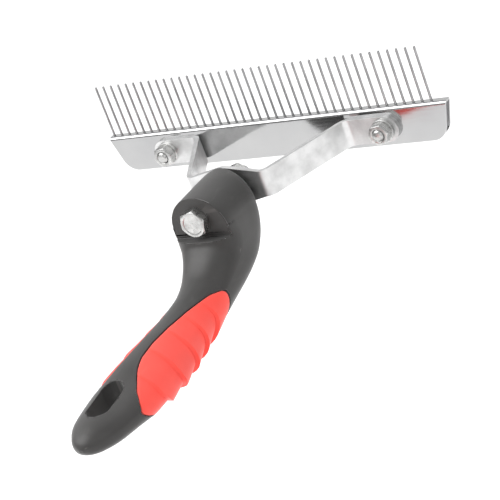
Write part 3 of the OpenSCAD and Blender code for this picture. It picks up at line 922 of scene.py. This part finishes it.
@dataclass
class Handle:
    """The black moulding and the red grip cover that lies in its pocket."""

    length: float = 167.0
    drop: float = 38.0
    width: float = 34.0
    thick: float = 25.0
    barrel_width: float = 33.4
    crown: float = 11.8
    barrel_length: float = 30.8
    step_drop: float = 9.5
    hole_length: float = 24.5
    hole_width: float = 12.4
    hole_from_end: float = 27.0
    cover: float = 2.5
    gap: float = 0.6
    lip: float = 2.0
    tip_reach: float = 0.17
    tail_notch: float = 0.26
    bore: float = 6.02
    front: float = -52.7
    axis_z: float = 9.8
    rows: list[tuple[float, ...]] = field(default_factory=list)

    @property
    def crown_z(self) -> float:
        """Height of the centre of the barrel's round crown."""
        return self.axis_z + self.crown - self.barrel_width / 2

    @property
    def barrel_middle(self) -> float:
        """Middle of the sweep in the barrel, which runs past both of its flat faces."""
        return self.front - self.barrel_length / 2 - 1.4

    @property
    def barrel_half(self) -> float:
        """Half length of the sweep in the barrel."""
        return self.barrel_length / 2 + 1.6

    def __post_init__(self) -> None:
        """Works out the rows of the sweep: middle, half sizes, squareness and egg share."""
        half = self.barrel_width / 2
        for turn in (87, 75, 52, 27, 0):
            rise, run = math.sin(math.radians(turn)), math.cos(math.radians(turn))
            self.rows.append((self.barrel_middle, self.crown_z + half * rise,
                              half * run, self.barrel_half, 8.0 if turn > 10 else 7.0, 0.0))
        for y, z, a, b, n, egg in GRIP_SHARES:
            self.rows.append((self.front - y * self.length, self.axis_z - z * self.drop,
                              a * self.width / 2, b * self.thick / 2, n, egg))

    def smooth(self, u: float) -> list[float]:
        """The row at place u on a smooth curve through all rows, the crown being a half circle."""
        if u < 4.0:
            half, turn = self.barrel_width / 2, math.radians(90.0 - 22.5 * u)
            return [self.barrel_middle, self.crown_z + half * math.sin(turn),
                    max(0.04, half * math.cos(turn)), self.barrel_half, 8.0 - u / 4, 0.0]
        i = max(0, min(len(self.rows) - 2, math.floor(u)))
        t = u - i
        a, b, c, d = (self.rows[max(0, min(len(self.rows) - 1, i + k))] for k in (-1, 0, 1, 2))
        return [0.5 * (2 * q + (r - p) * t + (2 * p - 5 * q + 4 * r - s) * t * t
                       + (3 * q - p - 3 * r + s) * t**3) for p, q, r, s in zip(a, b, c, d)]

    def section(self, u: float, angle: float, grow: float = 0.0) -> Point:
        """The point at an angle from below on the section at u.

        Args:
            u: Place along the sweep.
            angle: Angle from the underside in degrees.
            grow: Distance by which the point stands out.

        Returns:
            The point.
        """
        y, z, a, b, n, egg = self.smooth(u)
        ahead = self.smooth(min(u + 0.05, len(self.rows) - 1))
        behind = self.smooth(max(u - 0.05, 0))
        run, fall = ahead[0] - behind[0], ahead[1] - behind[1]
        size = math.hypot(run, fall)
        s, c = math.sin(math.radians(angle)), math.cos(math.radians(angle))
        wide = (a + grow) * math.copysign(abs(s) ** (2 / n), s) * (1 + egg * c)
        deep = -(b + grow) * math.copysign(abs(c) ** (2 / n), c)
        return (wide, y + deep * fall / size, z - deep * run / size)

    def skin(self, s: float, angle: float, grow: float = 0.0) -> Point:
        """The same at place s, where the cover's front and rear edges are lines of constant s."""
        start, end = COVER_ROWS[0][0], COVER_ROWS[-1][0]
        below = max(0.0, math.cos(math.radians(angle)))
        ahead = self.tip_reach * max(0.0, 1 - abs(s - start) / 3) * below**1.4
        notch = self.tail_notch * max(0.0, 1 - abs(s - end) / 3) * below**2
        u = s + (end - start) * (ahead - notch)
        return self.section(min(max(u, 0.0), len(self.rows) - 1.0), angle, grow)

    @staticmethod
    def reach(s: float) -> float:
        """The cover's half angle at place s."""
        for (s0, a0), (s1, a1) in zip(COVER_ROWS, COVER_ROWS[1:]):
            if s <= s1:
                return a0 + (a1 - a0) * max(0.0, (s - s0) / (s1 - s0))
        return COVER_ROWS[-1][1]

    def groove(self, s: float) -> float:
        """Angle that the groove beside the cover takes up."""
        row = self.smooth(s)
        return self.gap * 360 / (math.pi * (row[2] + row[3]))

    def rib(self, s: float) -> float:
        """How far a rib stands out at place s."""
        k = max(1, min(len(RIB_LIPS) - 1, sum(1 for lip in RIB_LIPS if lip < s - 0.001)))
        part = (s - RIB_LIPS[k - 1]) / (RIB_LIPS[k] - RIB_LIPS[k - 1])
        if k == 1:
            return self.lip * 0.45 * part
        if k == len(RIB_LIPS) - 1:
            return self.lip * -0.55 * (1 - part)
        return self.lip * (part - 0.55)

    def core_ring(self, s: float, depth: float) -> list[Point]:
        """One ring of the moulding, its pocket sunk by depth where the cover lies."""
        reach, lip = self.reach(s), self.groove(s)
        edge = min(0.45, depth)
        side = [(0.5, -depth), (0.85, -depth), (0.9, -edge), (1.0, -edge * 0.45),
                (1.3, -edge * 0.12), (1.8, 0.0)]
        points = [(reach * (i / 14), -depth) for i in range(-14, 15)]
        points += [(reach + lip * k, grow) for k, grow in side]
        start = reach + lip * 2.4
        points += [(start + (360 - 2 * start) * i / 40, 0.0) for i in range(41)]
        points += [(360 - reach - lip * k, grow) for k, grow in reversed(side)]
        return [self.skin(s, angle, grow) for angle, grow in points]

    def core(self) -> bpy.types.Object:
        """The black moulding with its flat faces, bore and hanging hole."""
        start, end, last = COVER_ROWS[0][0], COVER_ROWS[-1][0], len(self.rows) - 1
        deep = self.cover + 0.02
        neck_steps, cover_steps, tail_steps = 64, 84, 44
        places = [(start - 0.1) * i / neck_steps for i in range(neck_steps + 1)]
        rings = [self.core_ring(s, 0.0) for s in places]
        rim = ((0.07, 0.0), (0.052, 0.06), (0.044, 0.25), (0.04, 0.5), (0.038, deep))
        rings += [self.core_ring(start - back, depth) for back, depth in rim]
        rings += [self.core_ring(start + (end - start) * i / cover_steps, deep)
                  for i in range(cover_steps + 1)]
        rings += [self.core_ring(end + back, depth) for back, depth in reversed(rim)]
        rings += [self.core_ring(end + 0.1 + (last - end - 0.1) * i / tail_steps, 0.0)
                  for i in range(tail_steps + 1)]
        piece = Shape().loft(rings).mesh_object("black_moulding")
        back = self.front - self.barrel_length
        far = 60.0
        cutters = [
            block((-far, self.front, -far), (far, self.front + far, far)),
            block((-far, back - far, self.axis_z - self.step_drop), (far, back, far)),
            rod(self.bore, -2, self.barrel_length + 2, 0, self.front, self.axis_z, 64),
            self.hole_cutter()]
        return cut(piece, cutters)

    def hole_cutter(self) -> bpy.types.Object:
        """A cutter for the hanging hole."""
        radius = self.hole_width / 2
        run = self.hole_length / 2 - radius
        middle = self.front - self.length + self.hole_from_end
        outline = arc((0, run), radius, 0, 180, 24) + arc((0, -run), radius, 180, 360, 24)
        low = self.axis_z - self.drop
        rings = [[(x, middle + y, low + z) for x, y in outline] for z in (-25, 25)]
        return Shape().loft(rings).mesh_object("cutter")

    def cover_piece(self) -> bpy.types.Object:
        """The ribbed red cover with soft edges."""
        start, end = COVER_ROWS[0][0], COVER_ROWS[-1][0]
        shares = [-1, -0.993, -0.98, -0.96] + [i / 16 for i in range(-15, 16)] + [0.96, 0.98, 0.993, 1]
        soft = {1: -0.5, 0.993: -0.2, 0.98: -0.05}
        places: list[tuple[float, float]] = [(start, -0.55), (start + 0.012, -0.2), (start + 0.03, -0.05)]
        for k, (low, high) in enumerate(zip(RIB_LIPS, RIB_LIPS[1:])):
            first = 0.08 if k == 0 else 0.03
            places += [(low + (high - low) * (first + (0.97 - first) * i / 12), 0.0) for i in range(13)]
            if k < len(RIB_LIPS) - 2:
                places += [(high - 0.012, -0.04), (high, -0.2)]
        places += [(end - 0.03, -0.05), (end - 0.012, -0.2), (end, -0.55)]
        rings = []
        for s, sink in places:
            reach, rib = self.reach(s), self.rib(s)
            outer = [self.skin(s, reach * f, rib * (1 - abs(f) ** 4) + sink + soft.get(abs(f), 0.0))
                     for f in shares]
            inner = [self.skin(s, reach * f, -self.cover) for f in reversed(shares)]
            rings.append(outer + inner)
        shape = Shape()
        shape.loft(rings)
        return shape.mesh_object("red_grip_cover")

    def build(self, shop: Workshop) -> None:
        """Builds and dresses the moulding and its cover."""
        shop.finish(self.core(), "handle_core", HANDLE_BODY, SOFT_BLACK, "soft_black",
                    edge=0.35, segments=2, angle=40.0, clamp=False)
        shop.finish(self.cover_piece(), "grip_cover", HANDLE_BODY, SOFT_RED, "soft_red")


# ---------------------------------------------------------------- the studio


@dataclass(frozen=True)
class SoftLight:
    """A large soft lamp.

    Attributes:
        name: Its name.
        place: Where it stands, in metres.
        power: Its power in watts.
        size: Its side in metres.
        colour: Its colour.
    """

    name: str
    place: Point
    power: float
    size: float
    colour: Colour = (1.0, 1.0, 1.0)

    def build(self, aim: Vector) -> None:
        """Adds the lamp, aimed at a point."""
        data = bpy.data.lights.new(self.name, "AREA")
        data.energy, data.size, data.color = self.power, self.size, self.colour
        lamp = bpy.data.objects.new(self.name, data)
        bpy.context.scene.collection.objects.link(lamp)
        place = Vector(self.place)
        turn = (aim - place).to_track_quat("-Z", "Y").to_matrix().to_4x4()
        lamp.matrix_world = Matrix.Translation(place) @ turn


@dataclass
class Studio:
    """The pale floor, the soft lights and the camera."""

    eye: Point = (0.5610, -0.7828, 0.3739)
    right: Point = (0.82713, 0.456562, -0.32773)
    forward: Point = (-0.559141, 0.727354, -0.397891)
    lens: float = 144.0
    floor_z: float = -0.30
    lamps: tuple[SoftLight, ...] = (
        SoftLight("key_light", (-0.9, -0.5, 1.1), 9.0, 0.9),
        SoftLight("fill_light", (1.2, -0.9, 0.5), 3.0, 1.2),
        SoftLight("top_light", (0.1, 0.5, 1.3), 4.0, 1.0))

    def build(self) -> None:
        """Builds the studio."""
        self.camera()
        self.floor()
        self.world()
        for lamp in self.lamps:
            lamp.build(Vector((0.0, -0.08, 0.0)))
        sky = bpy.data.lights.new("even_light", "SUN")
        sky.energy, sky.angle = 1.5, math.radians(50.0)
        lamp = bpy.data.objects.new("even_light", sky)
        bpy.context.scene.collection.objects.link(lamp)
        lamp.rotation_euler = (math.radians(28.0), math.radians(-24.0), 0.0)
        bpy.context.scene.view_settings.view_transform = "Standard"

    def camera(self) -> None:
        """Adds the camera."""
        data = bpy.data.cameras.new("camera")
        data.lens, data.sensor_width = self.lens, 36.0
        data.clip_start, data.clip_end = 0.01, 50.0
        camera = bpy.data.objects.new("camera", data)
        bpy.context.scene.collection.objects.link(camera)
        forward = Vector(self.forward).normalized()
        right = Vector(self.right)
        right = (right - forward * right.dot(forward)).normalized()
        up = right.cross(forward)
        turn = Matrix((right, up, -forward)).transposed().to_4x4()
        camera.matrix_world = Matrix.Translation(self.eye) @ turn
        bpy.context.scene.camera = camera

    def floor(self) -> None:
        """Adds the pale floor."""
        shape = Shape()
        bmesh.ops.create_grid(shape.bm, x_segments=1, y_segments=1, size=6.0)
        shape.moved(Matrix.Translation((0, 0, self.floor_z)))
        floor = shape.mesh_object("floor")
        shader = Shader("pale_floor")
        shader.bsdf.inputs["Base Color"].default_value = (0.95, 0.95, 0.95, 1.0)
        shader.bsdf.inputs["Roughness"].default_value = 0.9
        floor.data.materials.append(shader.material)

    def world(self) -> None:
        """Adds a light room: bright overhead and low down, greyer at the height of the walls."""
        world = bpy.data.worlds.new("studio_world")
        world.use_nodes = True
        bpy.context.scene.world = world
        tree = world.node_tree
        background = tree.nodes["Background"]
        background.inputs["Strength"].default_value = 0.55
        coordinates = tree.nodes.new("ShaderNodeTexCoord")
        split = tree.nodes.new("ShaderNodeSeparateXYZ")
        spread = tree.nodes.new("ShaderNodeMapRange")
        spread.inputs["From Min"].default_value = -1.0
        ramp = tree.nodes.new("ShaderNodeValToRGB")
        tree.links.new(coordinates.outputs["Generated"], split.inputs["Vector"])
        tree.links.new(split.outputs["Z"], spread.inputs["Value"])
        tree.links.new(spread.outputs["Result"], ramp.inputs["Fac"])
        tree.links.new(ramp.outputs["Color"], background.inputs["Color"])
        levels = ((0.0, 0.9), (0.4, 0.7), (0.47, 0.28), (0.56, 0.28), (0.64, 1.9), (0.8, 1.9), (1.0, 0.7))
        for place, level in levels[1:-1]:
            ramp.color_ramp.elements.new(place)
        for element, (place, level) in zip(ramp.color_ramp.elements, levels):
            element.position = place
            element.color = (level, level, level, 1.0)


def main() -> None:
    """Builds the studio and every piece."""
    logging.basicConfig(level=logging.INFO, format="%(message)s")
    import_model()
    Studio().build()
    shop = Workshop()
    builders: list[Callable[[Workshop], None]] = [
        CombHead().build, Strap().build,
        ClampingScrew(-1, "left").build, ClampingScrew(1, "right").build,
        PivotBolt().build, Handle().build]
    for builder in builders:
        builder(shop)
    LOG.info("%d pieces finished", shop.count)


if __name__ == "__main__":
    main()
